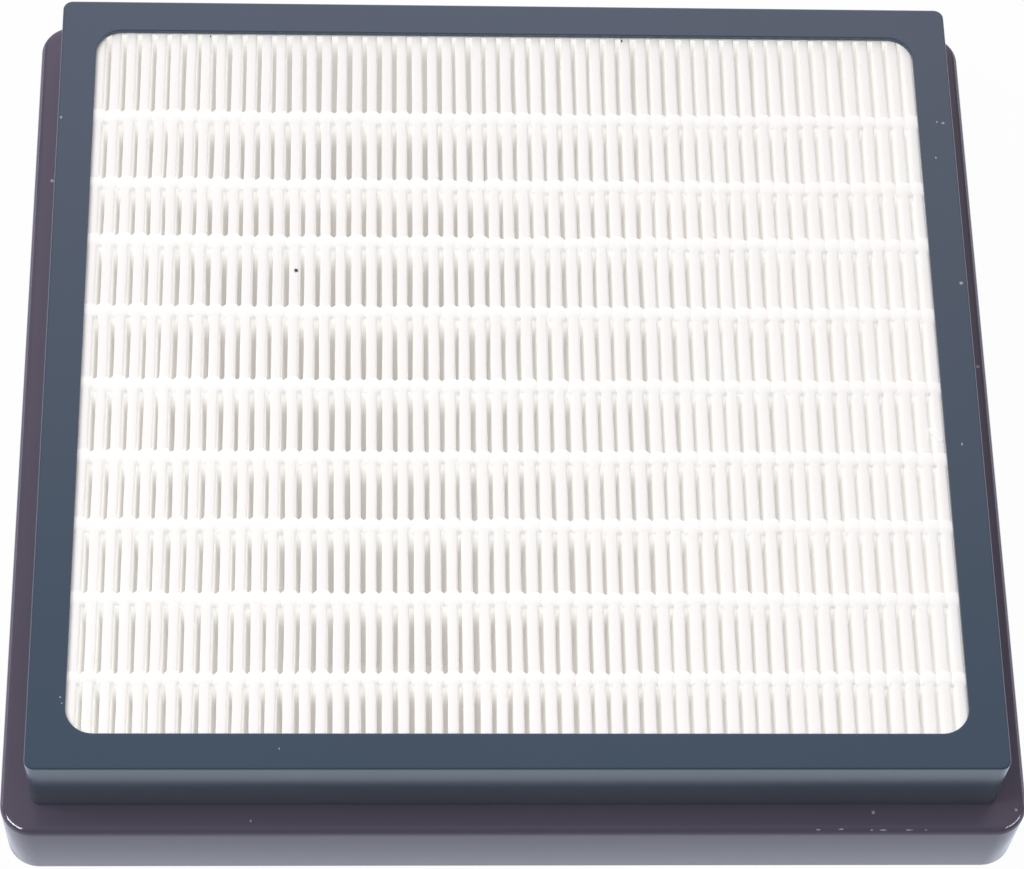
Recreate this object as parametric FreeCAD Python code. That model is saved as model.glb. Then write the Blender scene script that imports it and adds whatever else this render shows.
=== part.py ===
"""Vacuum HEPA filter: a pleated pack with separator threads, potted in a casing with a sealing flange.

Millimetres, +Z up, origin at the centre of the underside.
X runs across the pleats and Y along them, with the back of the filter at +Y.
"""
import FreeCAD, Part
import os

Vector = FreeCAD.Vector

# Casing: a rigid moulded frame with a lip round its window
casing_width = 148.0
casing_depth = 137.4
casing_height = 29.0
casing_corner = 1.6
casing_wall = 2.0
wall_draft = 0.2
rim_width = 5.8
rim_edge = 0.4
lip_thickness = 0.8
window_corner = 4.3
window_edge = 0.3
cavity_corner = 1.2

# Sealing flange: a soft moulded collar round the foot of the casing
flange_overhang = 4.8
flange_height = 14.8
flange_corner = 5.2
flange_edge = 1.2
flange_foot_edge = 0.4

# Pleated media: one folded sheet, with its lower folds set back from the underside
pleat_pitch = 2.5
paper_thickness = 0.4
fold_chamfer = 0.35
underside_recess = 5.0
side_sealant = 1.0
end_sealant = 1.2

# Separator threads: hot-melt rows laid across the folds, with a tooth in each gap on the upper face
separator_pitch = 12.53
separator_shift = -3.2
separator_margin = 10.0
separator_drift = (0.0, -0.4, 1.3, 0.9, 0.1, -0.1, 0.6, 0.6, 0.0)
thread_width = 1.8
thread_rise = 0.15
tooth_depth = 20.0

# Places that several pieces share
foot_width = casing_width + 2 * wall_draft
foot_depth = casing_depth + 2 * wall_draft
foot_corner = casing_corner + wall_draft
cavity_width = casing_width - 2 * casing_wall
cavity_depth = casing_depth - 2 * casing_wall
lip_underside = casing_height - lip_thickness
pack_top = lip_underside - thread_rise
pack_bottom = underside_recess
fold_width = pleat_pitch / 2 + paper_thickness
gap_width = pleat_pitch - fold_width
pleat_count = int((cavity_width - 2 * side_sealant - fold_width) / pleat_pitch) + 1
pack_width = (pleat_count - 1) * pleat_pitch + fold_width
pack_depth = cavity_depth - 2 * end_sealant
separator_count = int((pack_depth - 2 * separator_margin) / separator_pitch) + 1


def rounded_wire(width, depth, corner, height):
    """A rectangle centred on the Z axis, with round corners, at one height."""
    x = width / 2
    y = depth / 2
    inset = corner * (1 - 0.5 ** 0.5)
    edges = []
    for turn in range(4):
        long, short = (x, y) if turn % 2 == 0 else (y, x)
        start = Vector(long, corner - short, height)
        end = Vector(long, short - corner, height)
        middle = Vector(long - inset, short - inset, height)
        after = Vector(long - corner, short, height)
        side = [Part.LineSegment(start, end).toShape(), Part.Arc(end, middle, after).toShape()]
        for edge in side:
            edge.rotate(Vector(0, 0, 0), Vector(0, 0, 1), 90 * turn)
        edges += side
    return Part.Wire(edges)


def rounded_block(width, depth, corner, bottom, top):
    """An upright block on a rounded rectangle."""
    face = Part.Face(rounded_wire(width, depth, corner, bottom))
    return face.extrude(Vector(0, 0, top - bottom))


def box(width, depth, bottom, top):
    """An upright square-cornered block, centred on the Z axis."""
    return Part.makeBox(width, depth, top - bottom, Vector(-width / 2, -depth / 2, bottom))


def loop_edges(shape, height, width):
    """The edges of the closed loop at one height that reaches as far as this width."""
    found = []
    for wire in [wire for face in shape.Faces for wire in face.Wires]:
        limits = wire.BoundBox
        flat = abs(limits.ZMin - height) < 1e-4 and limits.ZLength < 1e-4
        if flat and abs(limits.XLength - width) < 1e-3:
            found = wire.Edges
    return found


def make_casing():
    foot = rounded_block(foot_width, foot_depth, foot_corner, 0, flange_height)
    lower = rounded_wire(foot_width, foot_depth, foot_corner, flange_height)
    upper = rounded_wire(casing_width, casing_depth, casing_corner, casing_height)
    shell = foot.fuse(Part.makeLoft([lower, upper], True, True)).removeSplitter()
    shell = shell.makeChamfer(rim_edge, loop_edges(shell, casing_height, casing_width))
    shell = shell.cut(rounded_block(cavity_width, cavity_depth, cavity_corner, -1, lip_underside))
    window_width = casing_width - 2 * rim_width
    window_depth = casing_depth - 2 * rim_width
    window = rounded_block(window_width, window_depth, window_corner, pack_bottom, casing_height + 1)
    shell = shell.cut(window)
    return shell.makeChamfer(window_edge, loop_edges(shell, casing_height, window_width))


def make_flange():
    width = casing_width + 2 * flange_overhang
    depth = casing_depth + 2 * flange_overhang
    collar = rounded_block(width, depth, flange_corner, 0, flange_height)
    collar = collar.makeFillet(flange_edge, loop_edges(collar, flange_height, width))
    collar = collar.makeChamfer(flange_foot_edge, loop_edges(collar, 0, width))
    return collar.cut(rounded_block(foot_width, foot_depth, foot_corner, -1, flange_height + 1))


def pleat_centre(index):
    """Where one upper fold lies across the pack."""
    return (index - (pleat_count - 1) / 2) * pleat_pitch


def make_media():
    half = fold_width / 2
    inner = half - paper_thickness
    crown = half - fold_chamfer
    shoulder = pack_top - fold_chamfer
    valley = pack_bottom + paper_thickness
    upper = []
    lower = []
    for index in range(pleat_count):
        x = pleat_centre(index)
        first = index == 0
        last = index == pleat_count - 1
        upper += [(x - half, pack_bottom if first else valley), (x - half, shoulder)]
        upper += [(x - crown, pack_top), (x + crown, pack_top)]
        upper += [(x + half, shoulder), (x + half, pack_bottom if last else valley)]
        lower += [(x - inner, pack_bottom), (x - inner, pack_top - paper_thickness)]
        lower += [(x + inner, pack_top - paper_thickness), (x + inner, pack_bottom)]
    outline = upper + lower[::-1] + upper[:1]
    points = [Vector(x, -pack_depth / 2, z) for x, z in outline]
    return Part.Face(Part.makePolygon(points)).extrude(Vector(0, pack_depth, 0))


def make_edge_sealant():
    ring = rounded_block(cavity_width, cavity_depth, cavity_corner, pack_bottom, lip_underside)
    return ring.cut(box(pack_width, pack_depth, pack_bottom - 1, lip_underside + 1))


def separator_place(index):
    """Where one row lies along the pleats, counted from the back."""
    even = ((separator_count - 1) / 2 - index) * separator_pitch
    return separator_shift + even + separator_drift[index % len(separator_drift)]


def make_upper_separator(index):
    """A thread over the upper folds, with a wedge that keeps each pair of pleats apart."""
    end = pack_width / 2
    outline = [(end, pack_top), (end, lip_underside), (-end, lip_underside), (-end, pack_top)]
    for gap in range(pleat_count - 1):
        x = pleat_centre(gap) + pleat_pitch / 2
        outline += [(x - gap_width / 2, pack_top), (x, pack_top - tooth_depth)]
        outline += [(x + gap_width / 2, pack_top)]
    near = separator_place(index) - thread_width / 2
    points = [Vector(x, near, z) for x, z in outline + outline[:1]]
    return Part.Face(Part.makePolygon(points)).extrude(Vector(0, thread_width, 0))


def make_lower_separator(index):
    """A plain thread along the lower folds."""
    thread = box(pack_width, thread_width, pack_bottom - thread_rise, pack_bottom)
    thread.translate(Vector(0, separator_place(index), 0))
    return thread


pieces = {
    "casing": make_casing(),
    "seal_flange": make_flange(),
    "pleated_media": make_media(),
    "edge_sealant": make_edge_sealant(),
}
for row in range(separator_count):
    pieces[f"separator_top_{row + 1}"] = make_upper_separator(row)
    pieces[f"separator_bottom_{row + 1}"] = make_lower_separator(row)

os.makedirs("parts", exist_ok=True)
for name, shape in pieces.items():
    shape.exportStep(f"parts/{name}.step")
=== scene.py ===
"""Looks of a vacuum HEPA filter: casing, sealing flange, pleated media, hot-melt threads and stage.

Metres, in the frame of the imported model: X across the pleats, Y along them to the back, Z up.
"""
import math

import bmesh
import bpy
from mathutils import Matrix, Vector, noise


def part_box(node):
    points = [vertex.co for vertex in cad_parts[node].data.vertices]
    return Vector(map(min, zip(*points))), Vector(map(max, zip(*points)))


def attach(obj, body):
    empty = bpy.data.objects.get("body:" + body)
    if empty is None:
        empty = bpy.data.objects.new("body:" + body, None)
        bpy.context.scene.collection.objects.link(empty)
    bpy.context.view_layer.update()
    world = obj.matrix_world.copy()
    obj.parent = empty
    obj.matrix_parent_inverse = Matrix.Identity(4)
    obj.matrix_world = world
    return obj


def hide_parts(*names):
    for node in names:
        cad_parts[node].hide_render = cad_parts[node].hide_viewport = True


bl_info = {
    "name": "Vacuum HEPA Filter",
    "version": (1, 0, 0),
    "blender": (4, 5, 0),
    "location": "View3D > Sidebar > Filter",
    "description": "Builds the looks of a flat pleated vacuum filter around its packed frame",
    "category": "Object",
}

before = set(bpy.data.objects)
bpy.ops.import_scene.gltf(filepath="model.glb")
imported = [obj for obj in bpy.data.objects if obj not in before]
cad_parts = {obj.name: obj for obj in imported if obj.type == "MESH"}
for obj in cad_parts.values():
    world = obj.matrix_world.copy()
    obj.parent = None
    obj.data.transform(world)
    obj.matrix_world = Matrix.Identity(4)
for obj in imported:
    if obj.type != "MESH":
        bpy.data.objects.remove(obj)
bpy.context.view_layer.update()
MM = 0.001

BODY = "root"
CASING_LOW, CASING_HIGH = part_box("casing")
FLANGE_LOW, FLANGE_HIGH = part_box("seal_flange")
MEDIA_LOW, MEDIA_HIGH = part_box("pleated_media")
SEALANT_LOW, SEALANT_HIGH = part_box("edge_sealant")
ROW_NODES = [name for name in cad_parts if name.startswith("separator_top_")]
ROWS = sorted(int(name.rsplit("_", 1)[1]) for name in ROW_NODES)
WHITE = (1.0, 1.0, 1.0, 1.0)
BLACK = (0.0, 0.0, 0.0, 1.0)


def length(name, description, default):
    """A property that holds a length in metres."""
    return bpy.props.FloatProperty(
        name=name, description=description, default=default, precision=5, unit="LENGTH"
    )


def colour(name, description, default):
    """A property that holds a linear colour."""
    return bpy.props.FloatVectorProperty(
        name=name, description=description, default=default, size=3, subtype="COLOR", min=0.0, max=1.0
    )


def number(name, description, default, **options):
    """A property that holds a plain number or an angle."""
    return bpy.props.FloatProperty(name=name, description=description, default=default, **options)


class FilterShellSettings(bpy.types.PropertyGroup):
    """Sizes and colours of the casing and the sealing flange."""

    wall: length("Wall", "Thickness of the casing's wall at the rim", 2.0 * MM)
    draft: length("Draft", "How far the casing's foot stands out beyond its rim", 0.2 * MM)
    rim: length("Rim", "Width of the rim round the window", 5.8 * MM)
    lip: length("Lip", "Thickness of the lip round the window", 0.8 * MM)
    casing_corner: length("Casing Corner", "Corner radius of the casing's rim", 1.6 * MM)
    window_corner: length("Window Corner", "Corner radius of the window", 4.3 * MM)
    cavity_corner: length("Cavity Corner", "Corner radius inside the casing", 1.2 * MM)
    rim_round: length("Rim Round", "Radius of the rim's outer edge", 0.3 * MM)
    window_round: length("Window Round", "Radius of the window's edge", 0.12 * MM)
    flange_corner: length("Flange Corner", "Corner radius of the flange", 5.2 * MM)
    flange_round: length("Flange Round", "Radius of the flange's upper edge", 1.2 * MM)
    flange_foot: length("Flange Foot", "Radius of the flange's lower edge", 0.4 * MM)
    casing_colour: colour("Casing Colour", "Satin blue-grey plastic", (0.040, 0.072, 0.114))
    # Painted reflection: the flange as seen in the casing's lower wall, painted into its colour there
    flange_reflection_colour: colour("Flange Reflection Colour", "The casing's hue by the flange", (0.104, 0.119, 0.152))
    flange_colour: colour("Flange Colour", "Dark violet seal", (0.110, 0.094, 0.136))


class FilterPackSettings(bpy.types.PropertyGroup):
    """Sizes and colours of the pleated media, the threads and the sealant."""

    pitch: length("Pitch", "Distance from one upper fold to the next", 2.5 * MM)
    paper: length("Paper", "Thickness of the filter paper", 0.4 * MM)
    fold_round: length("Fold Round", "Outer radius of a fold's shoulders", 0.42 * MM)
    wander: length("Wander", "How far a fold may lie off its even place", 0.12 * MM)
    waver: length("Waver", "How far a fold bends along its length", 0.16 * MM)
    wave: length("Wave", "Length of those bends", 14.0 * MM)
    sink: length("Sink", "How far a fold may lie below the highest ones", 0.12 * MM)
    thread_length: length("Thread Length", "Width of a hot-melt thread along the pleats", 2.3 * MM)
    thread_rise: length("Thread Rise", "Height of a thread above the folds", 0.1 * MM)
    thread_depth: length("Thread Depth", "How deep the glue reaches between the pleats", 20.0 * MM)
    seed: bpy.props.IntProperty(name="Seed", description="Seed of the uneven folds", default=7)
    paper_colour: colour("Paper Colour", "White filter paper", (0.920, 0.921, 0.901))
    glue_colour: colour("Glue Colour", "White hot-melt", (0.920, 0.921, 0.901))
    lean: number("Lean", "Lean of the pleats at the front", 0.018)
    lean_spread: number("Lean Spread", "Change in the lean from group to group", 0.035)


class FilterStageSettings(bpy.types.PropertyGroup):
    """The camera, the floor and the light."""

    camera_place: bpy.props.FloatVectorProperty(
        name="Camera Place",
        description="Where the camera stands",
        default=(-0.02499, -0.25177, 0.49370),
        subtype="TRANSLATION",
        unit="LENGTH",
        precision=5,
    )
    yaw: number("Yaw", "Turn of the view about Z", math.radians(-5.87), subtype="ANGLE")
    elevation: number("Elevation", "Height of the view", math.radians(62.63), subtype="ANGLE")
    roll: number("Roll", "Turn of the picture", math.radians(5.48), subtype="ANGLE")
    lens: number("Lens", "Focal length in millimetres", 117.14)
    world_light: number("World", "Strength of the white world", 0.36)
    key_light: number("Key", "Power of the light from the left", 2.54)
    back_light: number("Back", "Strength of the glow behind", 1.12)
    front_light: number("Front", "Power of the light by the camera", 0.58)
    edge_light: number("Edge", "Power of the side strips", 0.9)
    corner_light: number("Corner", "Power of the corner strips", 8.0)


def settings():
    """The three groups of settings on the scene."""
    scene = bpy.context.scene
    return scene.filter_shell, scene.filter_pack, scene.filter_stage


# Helpers for node trees


def add_node(tree, kind, inputs=None, **options):
    """A node with its options and inputs set; an input that is a socket is linked."""
    made = tree.nodes.new(kind)
    for key, value in options.items():
        setattr(made, key, value)
    for key, value in (inputs or {}).items():
        socket = made.inputs[key]
        if isinstance(value, bpy.types.NodeSocket):
            tree.links.new(value, socket)
        else:
            socket.default_value = value
    return made


def math_node(tree, operation, *values):
    """The result of one math node."""
    made = add_node(tree, "ShaderNodeMath", dict(enumerate(values)), operation=operation)
    return made.outputs[0]


def vector_node(tree, operation, *values):
    """The result of one vector math node: a number where the operation gives one."""
    made = add_node(tree, "ShaderNodeVectorMath", dict(enumerate(values)), operation=operation)
    return made.outputs["Value" if operation in ("LENGTH", "DOT_PRODUCT") else "Vector"]


def vector_of(tree, parts):
    """A vector from its parts, which are numbered from 0."""
    return add_node(tree, "ShaderNodeCombineXYZ", parts).outputs[0]


def ranged(tree, value, source, target=(0.0, 1.0), **options):
    """A value mapped from one range to another and held inside it."""
    inputs = {
        "Value": value,
        "From Min": source[0],
        "From Max": source[1],
        "To Min": target[0],
        "To Max": target[1],
    }
    return add_node(tree, "ShaderNodeMapRange", inputs, **options).outputs[0]


def new_tree(name, kind, inputs, outputs):
    """A node group with named sockets, and its two end nodes."""
    tree = bpy.data.node_groups.new(name, kind)
    for socket, socket_kind in inputs:
        tree.interface.new_socket(name=socket, in_out="INPUT", socket_type=socket_kind)
    for socket, socket_kind in outputs:
        tree.interface.new_socket(name=socket, in_out="OUTPUT", socket_type=socket_kind)
    return tree, tree.nodes.new("NodeGroupInput"), tree.nodes.new("NodeGroupOutput")


# Materials


def spot_group():
    """One speck with a ragged edge: a mask that is 1 round a place on the surface."""
    name = "spot"
    if name in bpy.data.node_groups:
        return bpy.data.node_groups[name]
    tree, start, end = new_tree(
        name,
        "ShaderNodeTree",
        [("Place", "NodeSocketVector"), ("Size", "NodeSocketFloat"), ("Stretch", "NodeSocketFloat")],
        [("Mask", "NodeSocketFloat")],
    )
    shape = vector_of(tree, {0: start.outputs["Stretch"], 1: 1.0, 2: 1.0})
    aside = vector_node(tree, "SUBTRACT", surface_place(tree), start.outputs["Place"])
    away = vector_node(tree, "LENGTH", vector_node(tree, "DIVIDE", aside, shape))
    ragged = noise_value(tree, scale=3000.0, detail=1.0)
    ragged = between(tree, ragged, 0.6, 1.4)
    reach = math_node(tree, "MULTIPLY", away, ragged)
    share = math_node(tree, "DIVIDE", reach, start.outputs["Size"])
    tree.links.new(ranged(tree, share, (1.0, 0.5)), end.inputs["Mask"])
    return tree


def spots(tree, places):
    """The mask of several specks: x, y, z and radius in millimetres, and how much longer in X."""
    total = None
    for x, y, z, size, stretch in places:
        made = tree.nodes.new("ShaderNodeGroup")
        made.node_tree = spot_group()
        made.inputs["Place"].default_value = (x * MM, y * MM, z * MM)
        made.inputs["Size"].default_value = size * MM
        made.inputs["Stretch"].default_value = stretch
        mask = made.outputs["Mask"]
        total = mask if total is None else math_node(tree, "MAXIMUM", total, mask)
    return total


# Specks, as spots() takes them
RIM_DUST = (
    (72.9, 15.5, 29.0, 0.34, 1.0),
    (70.7, -13.8, 29.0, 0.3, 0.6),
    (71.3, 46.3, 29.0, 0.2, 1.0),
    (72.3, 46.1, 29.0, 0.24, 1.3),
    (70.6, 39.3, 29.0, 0.24, 0.8),
    (-73.4, 45.7, 29.0, 0.28, 0.8),
    (-36.1, -65.4, 29.0, 0.22, 0.5),
    (-69.0, -57.1, 29.0, 0.16, 1.0),
    (-68.7, -58.1, 29.0, 0.14, 1.0),
)
LEDGE_DUST = (
    (77.4, 7.8, 14.8, 0.34, 1.0),
    (77.0, -69.8, 14.8, 0.28, 1.0),
    (54.8, -70.2, 14.8, 0.34, 1.0),
    (-75.8, 42.2, 14.8, 0.34, 1.0),
    (-40.6, -71.5, 14.8, 0.22, 0.7),
    (46.2, -72.95, 14.65, 0.14, 3.0),
    (49.7, -72.9, 14.7, 0.16, 3.5),
    (54.4, -73.0, 14.6, 0.15, 1.5),
    (56.2, -73.0, 14.6, 0.16, 4.0),
    (60.2, -73.0, 14.6, 0.14, 4.5),
    (62.8, -73.0, 14.6, 0.14, 1.5),
)
PAPER_MARKS = (
    (-34.6, 17.6, 28.0, 0.46, 1.0),
    (19.4, 62.5, 28.0, 0.34, 0.7),
    (-49.4, 62.6, 28.0, 0.28, 0.6),
)


def new_material(name):
    """A material with its node tree and its Principled shader."""
    material = bpy.data.materials.new(name)
    material.use_nodes = True
    return material, material.node_tree, material.node_tree.nodes["Principled BSDF"]


def surface_place(tree):
    """The place on the surface, in the frame that all pieces share."""
    return add_node(tree, "ShaderNodeTexCoord").outputs["Object"]


def surface_height(tree):
    """The height of the place on the surface."""
    return add_node(tree, "ShaderNodeSeparateXYZ", {0: surface_place(tree)}).outputs[2]


def noise_value(tree, scale, detail, stretch=(1.0, 1.0, 1.0)):
    """Noise on the surface, from 0 to 1."""
    place = {"Vector": surface_place(tree), "Scale": stretch}
    spread = add_node(tree, "ShaderNodeMapping", place).outputs[0]
    inputs = {"Vector": spread, "Scale": scale, "Detail": detail}
    return add_node(tree, "ShaderNodeTexNoise", inputs).outputs[0]


def between(tree, value, low, high):
    """A 0 to 1 value mapped to a range."""
    return ranged(tree, value, (0.0, 1.0), (low, high))


def mixed(tree, factor, first, second):
    """A colour between two colours, by the value of a socket."""
    inputs = {"Factor": factor, 6: first, 7: second}
    return add_node(tree, "ShaderNodeMix", inputs, data_type="RGBA").outputs[2]


def shade(base, factor):
    """A colour made lighter or darker, as RGBA."""
    return tuple(min(1.0, channel * factor) for channel in base) + (1.0,)


def bump(tree, shader, height, strength, distance):
    """A bump node on the shader's normal."""
    inputs = {"Strength": strength, "Distance": distance, "Height": height}
    made = add_node(tree, "ShaderNodeBump", inputs)
    tree.links.new(made.outputs["Normal"], shader.inputs["Normal"])


DUST_COLOUR = (0.42, 0.44, 0.47, 1.0)
MARK_COLOUR = (0.06, 0.065, 0.07, 1.0)
GLOSS_TINT = (0.88, 0.92, 1.0, 1.0)
# Heights between which the casing's colour turns to the painted reflection of the flange
REFLECTION_HEIGHTS = (26 * MM, 16 * MM)
# Painted glow: the depth over which it fades, its dark colour deep down (painted shade) and its colour
# at the top
GLOW_DEPTH = 7 * MM
GLOW_BELOW = (0.08, 0.015, 0.0, 1.0)
GLOW_ABOVE = (0.995, 0.972, 0.965, 1.0)


def plastic_material(name, base, foot, roughness, specular, grain, specks):
    """Moulded plastic: slow colour drift, towards the bottom a second hue for a painted reflection,
    fine grain and specks of dust.
    """
    material, tree, shader = new_material(name)
    # Painted reflection: towards the bottom the colour turns to the foot hue, which stands in for a
    # reflection of the flange
    low = ranged(tree, surface_height(tree), REFLECTION_HEIGHTS)
    darker = mixed(tree, low, shade(base, 0.92), shade(foot, 0.92))
    lighter = mixed(tree, low, shade(base, 1.1), shade(foot, 1.1))
    body = mixed(tree, noise_value(tree, scale=18.0, detail=3.0), darker, lighter)
    dusty = mixed(tree, spots(tree, specks), body, DUST_COLOUR)
    smear = noise_value(tree, scale=55.0, detail=4.0)
    smear = between(tree, smear, roughness * 0.85, roughness * 1.15)
    tree.links.new(dusty, shader.inputs["Base Color"])
    tree.links.new(smear, shader.inputs["Roughness"])
    shader.inputs["Specular IOR Level"].default_value = specular
    shader.inputs["Specular Tint"].default_value = GLOSS_TINT
    pores = noise_value(tree, scale=2600.0, detail=2.0)
    bump(tree, shader, pores, strength=grain, distance=0.04 * MM)
    return material


def painted_glow(tree, shader, strength, deep, marks=None):
    """Painted light: a faint glow that stands in for the light that passes through thin white stuff,
    less with depth, so that the gaps between the pleats get painted shade.
    """
    top = MEDIA_HIGH[2]
    level = ranged(tree, surface_height(tree), (top - GLOW_DEPTH, top), (deep, 1.0))
    glow = mixed(tree, level, GLOW_BELOW, GLOW_ABOVE)
    if marks:
        glow = mixed(tree, marks, glow, BLACK)
    tree.links.new(glow, shader.inputs["Emission Color"])
    shader.inputs["Emission Strength"].default_value = strength


def paper_material(base):
    """Filter paper: matt, with fibres, a faint unevenness of tone, a few dark marks and a painted
    glow.
    """
    material, tree, shader = new_material("filter_paper")
    tone = noise_value(tree, scale=70.0, detail=4.0, stretch=(1.0, 0.35, 1.0))
    body = mixed(tree, tone, shade(base, 0.965), shade(base, 1.03))
    marks = spots(tree, PAPER_MARKS)
    fibres = noise_value(tree, scale=1900.0, detail=5.0, stretch=(1.0, 0.5, 1.0))
    tree.links.new(mixed(tree, marks, body, MARK_COLOUR), shader.inputs["Base Color"])
    shader.inputs["Roughness"].default_value = 0.85
    shader.inputs["Specular IOR Level"].default_value = 0.2
    # Painted light: a glow that is dimmer deeper between the pleats, where it is painted shade
    painted_glow(tree, shader, strength=0.19, deep=0.58, marks=marks)
    bump(tree, shader, fibres, strength=0.25, distance=0.06 * MM)
    return material


def glue_material(base):
    """Set hot-melt: white, a little waxy, with a painted glow."""
    material, tree, shader = new_material("white_glue")
    tone = noise_value(tree, scale=240.0, detail=2.0)
    body = mixed(tree, tone, shade(base, 0.97), shade(base, 1.02))
    tree.links.new(body, shader.inputs["Base Color"])
    tree.links.new(between(tree, tone, 0.4, 0.6), shader.inputs["Roughness"])
    shader.inputs["Specular IOR Level"].default_value = 0.35
    # Painted light: a glow that is dimmer deeper between the pleats, where it is painted shade
    painted_glow(tree, shader, strength=0.25, deep=0.48)
    ripple = noise_value(tree, scale=900.0, detail=2.0)
    bump(tree, shader, ripple, strength=0.2, distance=0.08 * MM)
    return material


# Meshes


def round_loop(mesh, width, depth, corner, height, steps):
    """The vertices of a rounded rectangle, centred on the Z axis."""
    made = []
    for turn in range(4):
        across = 1 if turn in (0, 3) else -1
        along = 1 if turn in (0, 1) else -1
        middle = Vector((across * (width / 2 - corner), along * (depth / 2 - corner), height))
        for step in range(steps + 1):
            angle = math.pi / 2 * (turn + step / steps)
            outward = Vector((math.cos(angle), math.sin(angle), 0))
            made.append(mesh.verts.new(middle + outward * corner))
    return made


def ring_mesh(width, depth, profile, steps):
    """A closed ring from profile points (inset, height, corner radius), in order round the section."""
    mesh = bmesh.new()
    loops = []
    for inset, height, corner in profile:
        inner_width = width - 2 * inset
        inner_depth = depth - 2 * inset
        loops.append(round_loop(mesh, inner_width, inner_depth, corner, height, steps))
    for this, after in zip(loops, loops[1:] + loops[:1]):
        join_loops(mesh, this, after)
    bmesh.ops.recalc_face_normals(mesh, faces=mesh.faces)
    return mesh


def join_loops(mesh, this, after):
    """Faces between two closed loops of as many vertices."""
    for index in range(len(this)):
        follow = (index + 1) % len(this)
        mesh.faces.new((this[index], this[follow], after[follow], after[index]))


def mark_sharp(mesh, degrees):
    """Smooth faces, with edges over an angle kept sharp."""
    limit = math.radians(degrees)
    for face in mesh.faces:
        face.smooth = True
    for edge in mesh.edges:
        edge.smooth = not edge.is_manifold or edge.calc_face_angle(0.0) < limit


def arc_points(centre, radius, start, end, steps):
    """Points (inset, height) on an arc, angles in degrees."""
    made = []
    for step in range(steps + 1):
        angle = math.radians(start + (end - start) * step / steps)
        made.append((centre[0] + radius * math.cos(angle), centre[1] + radius * math.sin(angle)))
    return made


def mesh_data(name, mesh):
    """The mesh that a bmesh holds; the bmesh is freed."""
    data = bpy.data.meshes.new(name)
    mesh.to_mesh(data)
    mesh.free()
    return data


def finish_piece(name, mesh, material, slot, *nodes):
    """An object at the origin from a bmesh, riding on the frame in place of its nodes."""
    return settle(bpy.data.objects.new(name, mesh_data(name, mesh)), material, slot, *nodes)


def settle(piece, material, slot, *nodes):
    """Links a finished piece, gives it its material, sets it on the body and hides the nodes that it
    takes the place of.
    """
    bpy.context.scene.collection.objects.link(piece)
    piece.data.materials.clear()
    piece.data.materials.append(material)
    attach(piece, BODY)
    if nodes:
        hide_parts(*nodes)
    return piece


def baked(name, base, tree, inputs):
    """The plain mesh that a node tree makes of a base mesh."""
    holder = bpy.data.objects.new(name + "_base", base)
    bpy.context.scene.collection.objects.link(holder)
    modifier = holder.modifiers.new("build", "NODES")
    modifier.node_group = tree
    sockets = {}
    for item in tree.interface.items_tree:
        if item.in_out == "INPUT":
            sockets[item.name] = item.identifier
    for key, value in inputs.items():
        modifier[sockets[key]] = value
    graph = bpy.context.evaluated_depsgraph_get()
    data = bpy.data.meshes.new_from_object(holder.evaluated_get(graph), depsgraph=graph)
    holder.modifiers.remove(modifier)
    bpy.data.objects.remove(holder)
    data.name = name
    if not data.polygons:
        raise RuntimeError(f"{name} came out empty")
    return data


# Uneven folds: the shared rule that the media and the threads follow


SEED_STEP = 131.0
TRACK_STEP = 5.17
SINK_STEP = 0.37
SIZE_STEP = 50.0
WANDER_INPUTS = [
    ("Wander", "NodeSocketFloat"),
    ("Waver", "NodeSocketFloat"),
    ("Wave", "NodeSocketFloat"),
    ("Seed", "NodeSocketInt"),
]


def chance_value(tree, number_socket):
    """A random value from 0 to 1 that a number always gives again."""
    inputs = {"W": number_socket}
    made = add_node(tree, "ShaderNodeTexWhiteNoise", inputs, noise_dimensions="1D")
    return made.outputs["Value"]


def evened(tree, value):
    """A 0 to 1 value mapped to -1 to 1."""
    return math_node(tree, "MULTIPLY", math_node(tree, "SUBTRACT", value, 0.5), 2.0)


def wander_group():
    """How far one fold lies to the side and below at a place along the pleats."""
    name = "fold_wander"
    if name in bpy.data.node_groups:
        return bpy.data.node_groups[name]
    tree, start, end = new_tree(
        name,
        "GeometryNodeTree",
        [("Fold", "NodeSocketFloat"), ("Along", "NodeSocketFloat")] + WANDER_INPUTS,
        [("Aside", "NodeSocketFloat"), ("Height", "NodeSocketFloat")],
    )
    moved_on = math_node(tree, "MULTIPLY", start.outputs["Seed"], SEED_STEP)
    shifted = math_node(tree, "ADD", start.outputs["Fold"], moved_on)
    even = evened(tree, chance_value(tree, shifted))
    constant = math_node(tree, "MULTIPLY", even, start.outputs["Wander"])
    own_track = math_node(tree, "MULTIPLY", shifted, TRACK_STEP)
    along = math_node(tree, "DIVIDE", start.outputs["Along"], start.outputs["Wave"])
    place = vector_of(tree, {0: own_track, 1: along})
    inputs = {"Vector": place, "Scale": 1.0, "Detail": 1.0}
    wave = add_node(tree, "ShaderNodeTexNoise", inputs).outputs[0]
    bend = math_node(tree, "MULTIPLY", evened(tree, wave), start.outputs["Waver"])
    tree.links.new(math_node(tree, "ADD", constant, bend), end.inputs["Aside"])
    drop = chance_value(tree, math_node(tree, "ADD", shifted, SINK_STEP))
    tree.links.new(drop, end.inputs["Height"])
    return tree


def wander_node(tree, start, fold, along):
    """The shared rule placed in another tree."""
    made = tree.nodes.new("GeometryNodeGroup")
    made.node_tree = wander_group()
    tree.links.new(fold, made.inputs["Fold"])
    tree.links.new(along, made.inputs["Along"])
    for name, _ in WANDER_INPUTS:
        tree.links.new(start.outputs[name], made.inputs[name])
    return made


FOLD_SLICES = 40
CORNER_STEPS = 3
WALL_SHARES = (0.35, 0.7)
JOIN_DISTANCE = 1e-6
TIGHTEST_FOLD = 0.08 * MM
LOOSE_MARGIN = 2 * MM
LEAN_GROUP = 8 * MM
LEAN_LENGTH = 45 * MM


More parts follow.
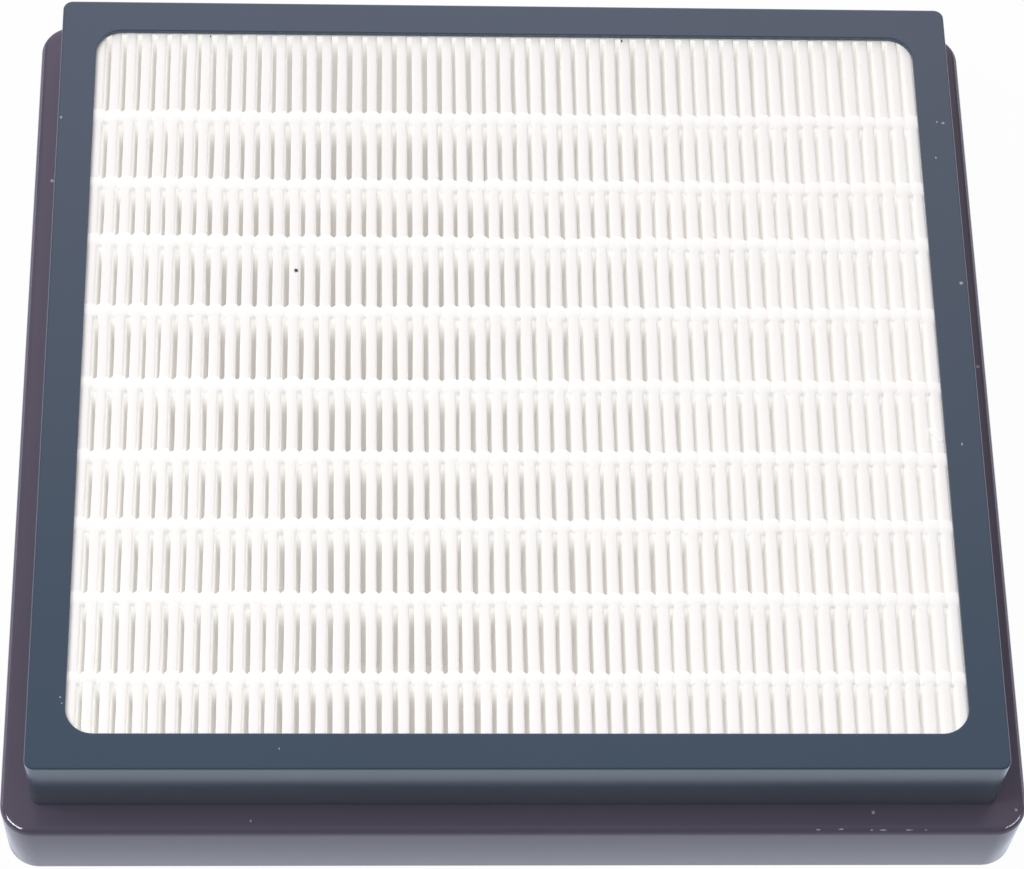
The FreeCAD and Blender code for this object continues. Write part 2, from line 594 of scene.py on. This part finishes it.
def fold_row(tree, start, places):
    """A point for every fold, and where the first lies across the pack."""
    pitch = start.outputs["Pitch"]
    steps = math_node(tree, "SUBTRACT", start.outputs["Count"], 1.0)
    first = math_node(tree, "MULTIPLY", math_node(tree, "MULTIPLY", steps, pitch), -0.5)
    inputs = {
        "Count": start.outputs["Count"],
        "Start Location": vector_of(tree, {0: first, **places}),
        "Offset": vector_of(tree, {0: pitch}),
    }
    return add_node(tree, "GeometryNodeMeshLine", inputs).outputs[0], first


def finish_tree(tree, start, end, geometry):
    """Realized instances, smooth faces and the material, as every tree ends."""
    real = add_node(tree, "GeometryNodeRealizeInstances", {"Geometry": geometry}).outputs[0]
    smooth = add_node(tree, "GeometryNodeSetShadeSmooth", {"Geometry": real}).outputs[0]
    inputs = {"Geometry": smooth, "Material": start.outputs["Material"]}
    coated = add_node(tree, "GeometryNodeSetMaterial", inputs).outputs[0]
    tree.links.new(coated, end.inputs["Geometry"])


def media_tree():
    """One fold repeated across the pack, each a little uneven at its upper end."""
    tree, start, end = new_tree(
        "pleated_media",
        "GeometryNodeTree",
        [
            ("Geometry", "NodeSocketGeometry"),
            ("Count", "NodeSocketInt"),
            ("Pitch", "NodeSocketFloat"),
            ("Foot", "NodeSocketFloat"),
            ("Top", "NodeSocketFloat"),
            ("Sink", "NodeSocketFloat"),
            ("Material", "NodeSocketMaterial"),
        ]
        + WANDER_INPUTS,
        [("Geometry", "NodeSocketGeometry")],
    )
    line, first = fold_row(tree, start, {})
    inputs = {"Points": line, "Instance": start.outputs["Geometry"]}
    copies = add_node(tree, "GeometryNodeInstanceOnPoints", inputs).outputs[0]
    sheet = add_node(tree, "GeometryNodeRealizeInstances", {"Geometry": copies}).outputs[0]
    inputs = {"Geometry": sheet, "Distance": JOIN_DISTANCE}
    sheet = add_node(tree, "GeometryNodeMergeByDistance", inputs).outputs[0]
    position = add_node(tree, "GeometryNodeInputPosition").outputs[0]
    place = add_node(tree, "ShaderNodeSeparateXYZ", {0: position})
    across = math_node(tree, "SUBTRACT", place.outputs[0], first)
    fold = math_node(tree, "ROUND", math_node(tree, "DIVIDE", across, start.outputs["Pitch"]))
    uneven = wander_node(tree, start, fold, place.outputs[1])
    heights = (start.outputs["Foot"], start.outputs["Top"])
    loose = ranged(tree, place.outputs[2], heights, interpolation_type="SMOOTHSTEP")
    aside = math_node(tree, "MULTIPLY", uneven.outputs["Aside"], loose)
    sunk = math_node(tree, "MULTIPLY", uneven.outputs["Height"], start.outputs["Sink"])
    down = math_node(tree, "MULTIPLY", math_node(tree, "MULTIPLY", sunk, loose), -1.0)
    inputs = {"Geometry": sheet, "Offset": vector_of(tree, {0: aside, 2: down})}
    moved = add_node(tree, "GeometryNodeSetPosition", inputs).outputs[0]
    finish_tree(tree, start, end, moved)
    return tree


def fold_section(pack, foot, top):
    """The upper and the lower line of one fold's section, from valley middle to valley middle."""
    half = pack.pitch / 4 + pack.paper / 2
    inner = half - pack.paper
    valley = pack.pitch / 2 - half
    outer = pack.fold_round
    tight = max(outer - pack.paper, TIGHTEST_FOLD)
    floor = foot + pack.paper
    right_upper = arc_points((half - outer, top - outer), outer, 90, 0, CORNER_STEPS)
    under = (inner - tight, top - pack.paper - tight)
    right_lower = arc_points(under, tight, 90, 0, CORNER_STEPS)
    for share in WALL_SHARES:
        height = top + (foot - top) * share
        right_upper.append((half, height))
        right_lower.append((inner, height))
    bottom = (pack.pitch / 2 - (valley - tight), floor + tight)
    right_upper += arc_points(bottom, tight, 180, 270, CORNER_STEPS)
    right_lower += arc_points((inner + outer, foot + outer), outer, 180, 270, CORNER_STEPS)
    right_upper.append((pack.pitch / 2, floor))
    right_lower.append((pack.pitch / 2, foot))
    upper = [(-x, z) for x, z in reversed(right_upper)] + right_upper
    lower = [(-x, z) for x, z in reversed(right_lower)] + right_lower
    return upper, lower


def join_lines(mesh, this, after, flip):
    """Faces between two open lines of as many vertices."""
    for index in range(len(this) - 1):
        corners = [this[index], this[index + 1], after[index + 1], after[index]]
        mesh.faces.new(corners[::-1] if flip else corners)


def fold_mesh(pack, near, far, foot, top):
    """One fold as a folded strip of paper, open where the next fold joins it."""
    lines = fold_section(pack, foot, top)
    mesh = bmesh.new()
    slices = []
    for step in range(FOLD_SLICES + 1):
        y = near + (far - near) * step / FOLD_SLICES
        slices.append([[mesh.verts.new((x, y, z)) for x, z in line] for line in lines])
    for this, after in zip(slices, slices[1:]):
        join_lines(mesh, this[0], after[0], False)
        join_lines(mesh, this[1], after[1], True)
    join_lines(mesh, slices[0][0], slices[0][1], True)
    join_lines(mesh, slices[-1][0], slices[-1][1], False)
    return mesh_data("fold", mesh)


def fold_count(pack):
    """How many upper folds the pack has."""
    steps_width = MEDIA_HIGH[0] - MEDIA_LOW[0] - pack.pitch / 2 - pack.paper
    return round(steps_width / pack.pitch) + 1


def lean_over(points, pack):
    """Lets the pleats lean about their upper folds, more at the front and in groups of a few."""
    for point in points:
        forward = max(0.0, -point.co.y) / MEDIA_HIGH[1]
        place = Vector((point.co.x / LEAN_GROUP, point.co.y / LEAN_LENGTH, float(pack.seed)))
        lean = pack.lean * forward + pack.lean_spread * noise.noise(place)
        point.co.x += lean * (MEDIA_HIGH[2] - point.co.z)


class FILTER_OT_media(bpy.types.Operator):
    """Fold the white filter paper into its pleats"""

    bl_idname = "filter_part.media"
    bl_label = "Pleated Media"

    def execute(self, context):
        _, pack, _ = settings()
        material = paper_material(pack.paper_colour)
        foot = MEDIA_LOW[2]
        top = MEDIA_HIGH[2]
        base = fold_mesh(pack, MEDIA_LOW[1], MEDIA_HIGH[1], foot, top)
        data = baked(
            "pleated_media_sheet",
            base,
            media_tree(),
            {
                "Count": fold_count(pack),
                "Pitch": pack.pitch,
                "Foot": foot + LOOSE_MARGIN,
                "Top": top - LOOSE_MARGIN,
                "Sink": pack.sink,
                "Material": material,
                "Wander": pack.wander,
                "Waver": pack.waver,
                "Wave": pack.wave,
                "Seed": pack.seed,
            },
        )
        mesh = bmesh.new()
        mesh.from_mesh(data)
        bmesh.ops.holes_fill(mesh, edges=[edge for edge in mesh.edges if edge.is_boundary])
        bmesh.ops.recalc_face_normals(mesh, faces=mesh.faces)
        lean_over(mesh.verts, pack)
        mesh.to_mesh(data)
        mesh.free()
        piece = bpy.data.objects.new("pleated_media_sheet", data)
        settle(piece, material, "media", "pleated_media")
        return {"FINISHED"}


KNUCKLE_LEAST = (0.98, 0.86, 1.0)
KNUCKLE_MOST = (1.03, 1.14, 1.0)
KNUCKLE_DRIFT = 0.12 * MM
THREAD_SINK = 0.5
LOWER_DEPTH = 2 * MM
JOINED_SPREAD = 1.24
EVEN_SPREAD = 1.03


def knuckle_mesh(pack, depth):
    """The glue round one fold: notched behind, and run out thin in front."""
    mesh = bmesh.new()
    across = pack.pitch / 2
    along = pack.thread_length / 2
    rise = pack.thread_rise
    notch = 0.6 * MM
    front_bulge = 0.08 * MM
    back_bulge = 0.05 * MM

    def ring(inset, front, height):
        """One level of the knuckle, drawn in at the sides and moved in front."""
        side = across - inset
        far = along - inset
        near = front - along
        plan = [
            (-side, near),
            (0.0, near - front_bulge),
            (side, near),
            (side, far - notch),
            (side - notch, far),
            (0.0, far + back_bulge),
            (notch - side, far),
            (-side, far - notch),
        ]
        return [mesh.verts.new((x, y, height)) for x, y in plan]

    rings = [
        ring(0.0, -0.9 * MM, -depth),
        ring(0.0, -0.45 * MM, -depth * 0.2),
        ring(0.0, -0.3 * MM, -0.6 * MM),
        ring(0.03 * MM, -0.15 * MM, -0.2 * MM),
        ring(0.2 * MM, 0.3 * MM, 0.0),
        ring(0.5 * MM, 0.8 * MM, rise * 0.9),
    ]
    for this, after in zip(rings, rings[1:]):
        join_loops(mesh, this, after)
    crown = mesh.verts.new((0, 0, rise))
    last = rings[-1]
    for index in range(len(last)):
        mesh.faces.new((last[index], last[(index + 1) % len(last)], crown))
    mesh.faces.new(rings[0][::-1])
    bmesh.ops.recalc_face_normals(mesh, faces=mesh.faces)
    return mesh_data("knuckle", mesh)


def thread_tree():
    """One row of glue: a knuckle on every fold, each of its own size."""
    tree, start, end = new_tree(
        "hot_melt_thread",
        "GeometryNodeTree",
        [
            ("Geometry", "NodeSocketGeometry"),
            ("Count", "NodeSocketInt"),
            ("Pitch", "NodeSocketFloat"),
            ("Place", "NodeSocketFloat"),
            ("Height", "NodeSocketFloat"),
            ("Sink", "NodeSocketFloat"),
            ("Drift", "NodeSocketFloat"),
            ("Row Seed", "NodeSocketInt"),
            ("Spread", "NodeSocketFloat"),
            ("Material", "NodeSocketMaterial"),
        ]
        + WANDER_INPUTS,
        [("Geometry", "NodeSocketGeometry")],
    )
    row_seed = start.outputs["Row Seed"]
    line, _ = fold_row(tree, start, {1: start.outputs["Place"], 2: start.outputs["Height"]})
    index = add_node(tree, "GeometryNodeInputIndex").outputs[0]
    uneven = wander_node(tree, start, index, start.outputs["Place"])
    inputs = {"Min": -1.0, "Max": 1.0, "Seed": row_seed}
    stray = add_node(tree, "FunctionNodeRandomValue", inputs, data_type="FLOAT").outputs[1]
    drift = math_node(tree, "MULTIPLY", stray, start.outputs["Drift"])
    sunk = math_node(tree, "MULTIPLY", uneven.outputs["Height"], start.outputs["Sink"])
    down = math_node(tree, "MULTIPLY", sunk, -1.0)
    offset = vector_of(tree, {0: uneven.outputs["Aside"], 1: drift, 2: down})
    inputs = {"Geometry": line, "Offset": offset}
    moved = add_node(tree, "GeometryNodeSetPosition", inputs).outputs[0]
    size_seed = math_node(tree, "ADD", row_seed, SIZE_STEP)
    inputs = {"Min": KNUCKLE_LEAST, "Max": KNUCKLE_MOST, "Seed": size_seed}
    grow = add_node(tree, "FunctionNodeRandomValue", inputs, data_type="FLOAT_VECTOR").outputs[0]
    spread = vector_of(tree, {0: start.outputs["Spread"], 1: 1.0, 2: 1.0})
    grown = vector_node(tree, "MULTIPLY", grow, spread)
    inputs = {"Points": moved, "Instance": start.outputs["Geometry"], "Scale": grown}
    copies = add_node(tree, "GeometryNodeInstanceOnPoints", inputs).outputs[0]
    finish_tree(tree, start, end, copies)
    return tree


class FILTER_OT_threads(bpy.types.Operator):
    """Lay the hot-melt threads across the upper and the lower folds"""

    bl_idname = "filter_part.threads"
    bl_label = "Hot-Melt Threads"

    def execute(self, context):
        _, pack, _ = settings()
        material = glue_material(pack.glue_colour)
        tree = thread_tree()
        folds = fold_count(pack)
        shared = {
            "Pitch": pack.pitch,
            "Drift": KNUCKLE_DRIFT,
            "Material": material,
            "Wave": pack.wave,
            "Seed": pack.seed,
        }
        for row in ROWS:
            low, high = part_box(f"separator_top_{row}")
            place = (low[1] + high[1]) / 2
            upper = dict(
                shared,
                **{
                    "Count": folds,
                    "Place": place,
                    "Height": MEDIA_HIGH[2],
                    "Sink": pack.sink * THREAD_SINK,
                    "Row Seed": row,
                    "Spread": EVEN_SPREAD if row == ROWS[-1] else JOINED_SPREAD,
                    "Wander": pack.wander,
                    "Waver": pack.waver,
                },
            )
            name = f"thread_top_{row}"
            data = baked(name, knuckle_mesh(pack, pack.thread_depth), tree, upper)
            lean_over(data.vertices, pack)
            piece = bpy.data.objects.new(name, data)
            settle(piece, material, "hot_melt", f"separator_top_{row}")
            lower = dict(
                shared,
                **{
                    "Count": folds - 1,
                    "Place": place,
                    "Height": 0.0,
                    "Sink": 0.0,
                    "Row Seed": row + len(ROWS),
                    "Spread": EVEN_SPREAD,
                    "Wander": 0.0,
                    "Waver": 0.0,
                },
            )
            name = f"thread_bottom_{row}"
            data = baked(name, knuckle_mesh(pack, LOWER_DEPTH), tree, lower)
            upside_down = Matrix.Diagonal((1, 1, -1, 1))
            data.transform(Matrix.Translation((0, 0, MEDIA_LOW[2])) @ upside_down)
            data.flip_normals()
            lean_over(data.vertices, pack)
            piece = bpy.data.objects.new(name, data)
            settle(piece, material, "hot_melt", f"separator_bottom_{row}")
        return {"FINISHED"}


class FILTER_OT_sealant(bpy.types.Operator):
    """Pour the glue that holds the pack in the casing"""

    bl_idname = "filter_part.sealant"
    bl_label = "Edge Sealant"

    def execute(self, context):
        shell, _, _ = settings()
        width = SEALANT_HIGH[0] - SEALANT_LOW[0]
        depth = SEALANT_HIGH[1] - SEALANT_LOW[1]
        across = (width - (MEDIA_HIGH[0] - MEDIA_LOW[0])) / 2
        sharp = 0.05 * MM
        edge_rise = 0.4 * MM
        middle_rise = 0.15 * MM
        profile = [
            (0.0, SEALANT_LOW[2], shell.cavity_corner),
            (0.0, SEALANT_HIGH[2], shell.cavity_corner),
            (across, SEALANT_HIGH[2], sharp),
            (across, SEALANT_LOW[2] + edge_rise, sharp),
            (across / 2, SEALANT_LOW[2] + middle_rise, shell.cavity_corner / 2),
        ]
        mesh = ring_mesh(width, depth, profile, steps=4)
        mark_sharp(mesh, 40)
        material = bpy.data.materials["white_glue"]
        finish_piece("edge_sealant_ring", mesh, material, "hot_melt", "edge_sealant")
        return {"FINISHED"}


class FILTER_OT_ends(bpy.types.Operator):
    """Fill the gaps under the lip at both ends of the pleats"""

    bl_idname = "filter_part.ends"
    bl_label = "End Glue"

    def execute(self, context):
        shell, _, _ = settings()
        behind_lip = 0.1 * MM
        below_top = 0.35 * MM
        clear = 0.5 * MM
        inner = CASING_HIGH[1] - shell.draft - shell.rim + behind_lip
        outer = MEDIA_HIGH[1]
        foot = MEDIA_LOW[2] + clear
        top = MEDIA_HIGH[2] - below_top
        width = MEDIA_HIGH[0] - MEDIA_LOW[0] - 2 * clear
        mesh = bmesh.new()
        for side in (-1, 1):
            middle = Vector((0.0, side * (inner + outer) / 2, (foot + top) / 2))
            size = Matrix.Diagonal((width, outer - inner, top - foot, 1.0))
            bmesh.ops.create_cube(mesh, size=1.0, matrix=Matrix.Translation(middle) @ size)
        mark_sharp(mesh, 40)
        finish_piece("end_glue", mesh, bpy.data.materials["white_glue"], "hot_melt")
        return {"FINISHED"}


DROP_TURN = 0.68
DROP_SIZE = (0.6 * MM, 1.55 * MM, 0.2 * MM, 1.0)
DROP_PLACE = (66.95 * MM, -11.9 * MM, MEDIA_HIGH[2] + 0.05 * MM)


class FILTER_OT_drop(bpy.types.Operator):
    """Leave the stray drop of glue at the right edge of the window"""

    bl_idname = "filter_part.drop"
    bl_label = "Glue Drop"

    def execute(self, context):
        mesh = bmesh.new()
        bmesh.ops.create_icosphere(mesh, subdivisions=3, radius=1.0)
        for vertex in mesh.verts:
            x, y, z = vertex.co
            swell = 1.0 + 0.12 * math.sin(3.1 * x + 1.7 * y) * math.cos(2.3 * z)
            vertex.co = vertex.co * swell
        size = Matrix.Rotation(DROP_TURN, 4, "Z") @ Matrix.Diagonal(DROP_SIZE)
        mesh.transform(Matrix.Translation(DROP_PLACE) @ size)
        mark_sharp(mesh, 80)
        finish_piece("glue_drop", mesh, bpy.data.materials["white_glue"], "hot_melt")
        return {"FINISHED"}


# Width of the narrow face beside a round edge that keeps the shading of the flat face flat
EDGE_HOLD = 0.12 * MM


class FILTER_OT_casing(bpy.types.Operator):
    """Mould the rigid casing with its lip round the window"""

    bl_idname = "filter_part.casing"
    bl_label = "Casing"

    def execute(self, context):
        shell, _, _ = settings()
        top = CASING_HIGH[2]
        ledge = FLANGE_HIGH[2]
        width = CASING_HIGH[0] - CASING_LOW[0] - 2 * shell.draft
        depth = CASING_HIGH[1] - CASING_LOW[1] - 2 * shell.draft
        corner = shell.casing_corner
        rim = shell.rim
        window = shell.window_corner
        under = top - shell.lip
        profile = [
            (-shell.draft, 0.0, corner + shell.draft),
            (-shell.draft, ledge, corner + shell.draft),
        ]
        hold = EDGE_HOLD
        large = shell.rim_round
        below = top - large - hold
        slope = shell.draft * (top - below) / (top - ledge)
        profile.append((-slope, below, corner + slope))
        edge = arc_points((large, top - large), large, 180, 90, steps=5)
        edge.append((large + hold, top))
        profile += [(inset, height, corner - inset) for inset, height in edge]
        small = shell.window_round
        edge = [(rim - small - hold, top)]
        edge += arc_points((rim - small, top - small), small, 90, 0, steps=4)
        profile += [(inset, height, window + rim - inset) for inset, height in edge]
        profile += [
            (rim, under, window),
            (shell.wall, under, shell.cavity_corner),
            (shell.wall, 0.0, shell.cavity_corner),
        ]
        mesh = ring_mesh(width, depth, profile, steps=12)
        mark_sharp(mesh, 32)
        # The casing's lower wall gets the painted reflection of the flange
        material = plastic_material(
            "casing_plastic",
            shell.casing_colour,
            shell.flange_reflection_colour,
            roughness=0.19,
            specular=0.8,
            grain=0.03,
            specks=RIM_DUST,
        )
        finish_piece("casing_shell", mesh, material, "casing", "casing")
        return {"FINISHED"}


class FILTER_OT_flange(bpy.types.Operator):
    """Mould the dark sealing flange round the casing's foot"""

    bl_idname = "filter_part.flange"
    bl_label = "Sealing Flange"

    def execute(self, context):
        shell, _, _ = settings()
        top = FLANGE_HIGH[2]
        width = FLANGE_HIGH[0] - FLANGE_LOW[0]
        depth = FLANGE_HIGH[1] - FLANGE_LOW[1]
        seat = (width - (CASING_HIGH[0] - CASING_LOW[0])) / 2
        corner = shell.flange_corner
        foot = shell.flange_foot
        large = shell.flange_round
        edge = arc_points((foot, foot), foot, 270, 180, steps=4)
        edge += arc_points((large, top - large), large, 180, 90, steps=8)
        edge.append((large + EDGE_HOLD, top))
        profile = [(inset, height, corner - inset) for inset, height in edge]
        inner_corner = shell.casing_corner + shell.draft
        profile += [(seat, top, inner_corner), (seat, 0.0, inner_corner)]
        mesh = ring_mesh(width, depth, profile, steps=14)
        mark_sharp(mesh, 32)
        material = plastic_material(
            "seal_rubber",
            shell.flange_colour,
            shell.flange_colour,
            roughness=0.13,
            specular=0.4,
            grain=0.01,
            specks=LEDGE_DUST,
        )
        finish_piece("seal_flange_collar", mesh, material, "flange", "seal_flange")
        return {"FINISHED"}


# Stage


MIDDLE = (0.0, 0.0, 0.02)
FLOOR_SIZE = 3.0
FLOOR_DROP = 0.2 * MM
FLOOR_COLOUR = (0.9, 0.9, 0.9, 1.0)
FLOOR_IN_GLOSS = (0.99, 1.06, 1.2, 1.0)
FLOOR_SHOWN = 0.97
BACK_WAY = (0.05, 0.85, 0.53)
BACK_CONE = (0.8, 0.935)
BACK_TINT = (1.0, 0.8, 0.85)
FRONT_SLOPE = (0.0, -0.5)
FRONT_SHARE = 0.3
KEY_PLACE = (-0.37, -0.06, 0.74)
FRONT_PLACE = (-0.06, -0.32, 0.62)
LEFT_CORNER = ((-0.39, -0.5, 0.46), (-0.658, -0.146, 0.333))
RIGHT_CORNER = ((0.448, -0.48, 0.434), (0.688, -0.13, 0.276))
RIGHT_SHARE = 0.45
LEFT_EDGE = ((-0.75, 0.1, 0.1), (-0.75, 0.7, 0.1))
RIGHT_EDGE = ((0.75, 0.1, 0.1), (0.75, 0.7, 0.1))


def white_floor():
    """A white floor that shows white to the camera and in gloss, and keeps a soft shadow."""
    material, tree, shader = new_material("white_floor")
    shader.inputs["Base Color"].default_value = FLOOR_COLOUR
    shader.inputs["Roughness"].default_value = 0.9
    shader.inputs["Specular IOR Level"].default_value = 0.0
    path = add_node(tree, "ShaderNodeLightPath")
    white = mixed(tree, path.outputs["Is Glossy Ray"], WHITE, FLOOR_IN_GLOSS)
    glow = add_node(tree, "ShaderNodeEmission", {"Color": white, "Strength": 1.0}).outputs[0]
    seen = path.outputs["Is Camera Ray"]
    for ray in ("Is Glossy Ray", "Is Transmission Ray"):
        seen = math_node(tree, "MAXIMUM", seen, path.outputs[ray])
    share = math_node(tree, "MULTIPLY", seen, FLOOR_SHOWN)
    inputs = {0: share, 1: shader.outputs[0], 2: glow}
    mix = add_node(tree, "ShaderNodeMixShader", inputs).outputs[0]
    tree.links.new(mix, tree.nodes["Material Output"].inputs["Surface"])
    return material


def white_world(strength, behind):
    """A white world, brighter low at the back and dim in front, that shows white to the camera."""
    world = bpy.data.worlds.new("studio")
    world.use_nodes = True
    tree = world.node_tree
    back = tree.nodes["Background"]
    way = add_node(tree, "ShaderNodeTexCoord").outputs["Generated"]
    glow = ranged(tree, vector_node(tree, "DOT_PRODUCT", way, BACK_WAY), BACK_CONE)
    ahead = add_node(tree, "ShaderNodeSeparateXYZ", {0: way}).outputs[1]
    dim = ranged(tree, ahead, FRONT_SLOPE)
    grey = (strength, strength, strength)
    plain = mixed(tree, dim, shade(grey, 1.0), shade(grey, FRONT_SHARE))
    bright = tuple(strength + share * behind for share in BACK_TINT) + (1.0,)
    light = mixed(tree, glow, plain, bright)
    path = add_node(tree, "ShaderNodeLightPath")
    seen = mixed(tree, path.outputs["Is Camera Ray"], light, WHITE)
    tree.links.new(seen, back.inputs["Color"])
    bpy.context.scene.world = world


def soft_light(name, place, size, power):
    """A square area light that faces the part and shows in no reflection."""
    lamp = bpy.data.lights.new(name, "AREA")
    lamp.size = size
    lamp.energy = power
    holder = bpy.data.objects.new(name, lamp)
    holder.location = place
    holder.visible_glossy = False
    toward = Vector(MIDDLE) - Vector(place)
    holder.rotation_euler = toward.to_track_quat("-Z", "Y").to_euler()
    bpy.context.scene.collection.objects.link(holder)


def strip_light(name, ends, width, power):
    """A long lamp between two points that faces the part and shows only in reflections."""
    start, end = (Vector(place) for place in ends)
    along = end - start
    middle = (start + end) / 2
    lamp = bpy.data.lights.new(name, "AREA")
    lamp.shape = "RECTANGLE"
    lamp.size = along.length
    lamp.size_y = width
    lamp.energy = power
    side = along.normalized()
    back = middle - Vector(MIDDLE)
    back = (back - side * back.dot(side)).normalized()
    holder = bpy.data.objects.new(name, lamp)
    axes = Matrix((side, back.cross(side), back)).transposed().to_4x4()
    holder.matrix_world = Matrix.Translation(middle) @ axes
    holder.visible_diffuse = False
    bpy.context.scene.collection.objects.link(holder)
    return holder


def light_only(lamps, piece_name):
    """Keeps lamps to one piece, where it has been made."""
    piece = bpy.data.objects.get(piece_name)
    if piece is None:
        return
    lit = bpy.data.collections.new(f"{piece_name}_lit")
    lit.objects.link(piece)
    for lamp in lamps:
        lamp.light_linking.receiver_collection = lit


class FILTER_OT_stage(bpy.types.Operator):
    """Set the white floor, the light and the camera"""

    bl_idname = "filter_part.stage"
    bl_label = "Stage"

    def execute(self, context):
        _, _, stage = settings()
        mesh = bmesh.new()
        bmesh.ops.create_grid(mesh, x_segments=1, y_segments=1, size=FLOOR_SIZE)
        floor = bpy.data.objects.new("floor", mesh_data("floor", mesh))
        floor.data.materials.append(white_floor())
        floor.location.z = -FLOOR_DROP
        context.scene.collection.objects.link(floor)
        white_world(stage.world_light, stage.back_light)
        soft_light("key_left", KEY_PLACE, size=0.35, power=stage.key_light)
        soft_light("front_high", FRONT_PLACE, size=0.25, power=stage.front_light)
        power = stage.corner_light
        left = strip_light("corner_left", LEFT_CORNER, width=0.18, power=power)
        right = strip_light("corner_right", RIGHT_CORNER, width=0.17, power=power * RIGHT_SHARE)
        light_only([left, right], "seal_flange_collar")
        strip_light("edge_left", LEFT_EDGE, width=0.2, power=stage.edge_light)
        strip_light("edge_right", RIGHT_EDGE, width=0.2, power=stage.edge_light)
        self.place_camera(context.scene, stage)
        context.scene.view_settings.view_transform = "Standard"
        return {"FINISHED"}

    def place_camera(self, scene, stage):
        """The camera at the photograph's viewing angle."""
        lens = bpy.data.cameras.new("camera")
        lens.sensor_width = 36.0
        lens.lens = stage.lens
        lens.clip_start = 0.01
        level = math.cos(stage.elevation)
        rise = math.sin(stage.elevation)
        back = Vector((math.sin(stage.yaw) * level, -math.cos(stage.yaw) * level, rise))
        right = Vector((math.cos(stage.yaw), math.sin(stage.yaw), 0.0))
        up = back.cross(right)
        turned = right * math.cos(stage.roll) + up * math.sin(stage.roll)
        raised = up * math.cos(stage.roll) - right * math.sin(stage.roll)
        camera = bpy.data.objects.new("camera", lens)
        axes = Matrix((turned, raised, back)).transposed().to_4x4()
        camera.matrix_world = Matrix.Translation(stage.camera_place) @ axes
        scene.collection.objects.link(camera)
        scene.camera = camera


class FILTER_PT_panel(bpy.types.Panel):
    """The filter's pieces in the order in which they are made"""

    bl_label = "Vacuum HEPA Filter"
    bl_idname = "FILTER_PT_panel"
    bl_space_type = "VIEW_3D"
    bl_region_type = "UI"
    bl_category = "Filter"

    def draw(self, context):
        for operator in OPERATORS:
            self.layout.operator(operator.bl_idname)


GROUPS = {
    "filter_shell": FilterShellSettings,
    "filter_pack": FilterPackSettings,
    "filter_stage": FilterStageSettings,
}
OPERATORS = (
    FILTER_OT_casing,
    FILTER_OT_flange,
    FILTER_OT_media,
    FILTER_OT_threads,
    FILTER_OT_sealant,
    FILTER_OT_ends,
    FILTER_OT_drop,
    FILTER_OT_stage,
)


def register():
    for name, group in GROUPS.items():
        bpy.utils.register_class(group)
        setattr(bpy.types.Scene, name, bpy.props.PointerProperty(type=group))
    for operator in OPERATORS:
        bpy.utils.register_class(operator)
    bpy.utils.register_class(FILTER_PT_panel)


def unregister():
    bpy.utils.unregister_class(FILTER_PT_panel)
    for operator in reversed(OPERATORS):
        bpy.utils.unregister_class(operator)
    for name, group in GROUPS.items():
        delattr(bpy.types.Scene, name)
        bpy.utils.unregister_class(group)


def main():
    register()
    bpy.ops.filter_part.casing()
    bpy.ops.filter_part.flange()
    bpy.ops.filter_part.media()
    bpy.ops.filter_part.threads()
    bpy.ops.filter_part.sealant()
    bpy.ops.filter_part.ends()
    bpy.ops.filter_part.drop()
    bpy.ops.filter_part.stage()


if __name__ == "__main__":
    main()
